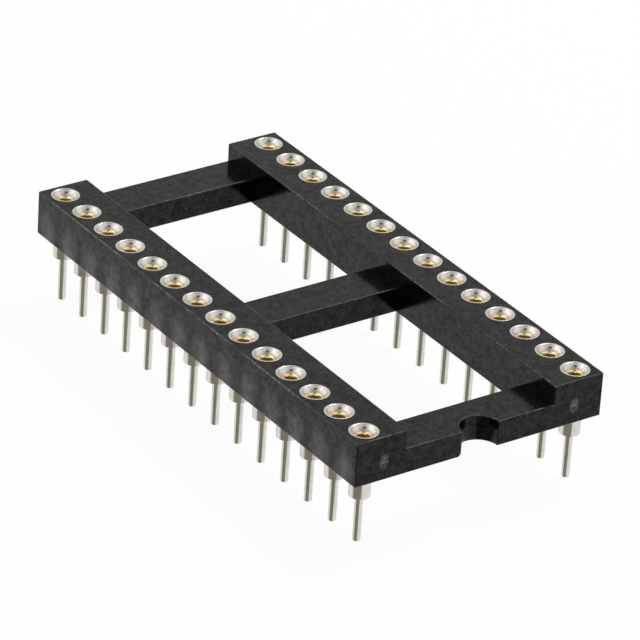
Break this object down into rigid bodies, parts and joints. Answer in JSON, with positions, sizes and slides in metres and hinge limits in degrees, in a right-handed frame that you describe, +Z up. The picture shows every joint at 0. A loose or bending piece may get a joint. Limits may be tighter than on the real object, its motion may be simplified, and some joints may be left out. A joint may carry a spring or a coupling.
{
  "type": "ic socket",
  "caption": "Black open-frame dual in-line ic socket with turned contacts: two rails, lower crossbars, an end notch, tin-plated sleeves and gold-plated clips.",
  "frame": {"origin": "centre of the two rows of contacts, on the board plane that the shoulders stand on", "axes": "+X across the rows, towards contacts 1 to 14; +Y along the rows, away from the notched end; +Z up from the board"},
  "size_m": [0.0178, 0.0354, 0.0074],
  "materials": {
    "insulator": "satin",
    "sleeve": "satin, tin plated",
    "contact_clip": "polished, gold plated"
  },
  "bodies": {
    "root": {"insulator": "insulator", "sleeve_01": "sleeve", "contact_clip_01": "contact_clip", "sleeve_02": "sleeve", "contact_clip_02": "contact_clip", "sleeve_03": "sleeve", "contact_clip_03": "contact_clip", "sleeve_04": "sleeve", "contact_clip_04": "contact_clip", "sleeve_05": "sleeve", "contact_clip_05": "contact_clip", "sleeve_06": "sleeve", "contact_clip_06": "contact_clip", "sleeve_07": "sleeve", "contact_clip_07": "contact_clip", "sleeve_08": "sleeve", "contact_clip_08": "contact_clip", "sleeve_09": "sleeve", "contact_clip_09": "contact_clip", "sleeve_10": "sleeve", "contact_clip_10": "contact_clip", "sleeve_11": "sleeve", "contact_clip_11": "contact_clip", "sleeve_12": "sleeve", "contact_clip_12": "contact_clip", "sleeve_13": "sleeve", "contact_clip_13": "contact_clip", "sleeve_14": "sleeve", "contact_clip_14": "contact_clip", "sleeve_15": "sleeve", "contact_clip_15": "contact_clip", "sleeve_16": "sleeve", "contact_clip_16": "contact_clip", "sleeve_17": "sleeve", "contact_clip_17": "contact_clip", "sleeve_18": "sleeve", "contact_clip_18": "contact_clip", "sleeve_19": "sleeve", "contact_clip_19": "contact_clip", "sleeve_20": "sleeve", "contact_clip_20": "contact_clip", "sleeve_21": "sleeve", "contact_clip_21": "contact_clip", "sleeve_22": "sleeve", "contact_clip_22": "contact_clip", "sleeve_23": "sleeve", "contact_clip_23": "contact_clip", "sleeve_24": "sleeve", "contact_clip_24": "contact_clip", "sleeve_25": "sleeve", "contact_clip_25": "contact_clip", "sleeve_26": "sleeve", "contact_clip_26": "contact_clip", "sleeve_27": "sleeve", "contact_clip_27": "contact_clip", "sleeve_28": "sleeve", "contact_clip_28": "contact_clip"}
  },
  "joints": []
}
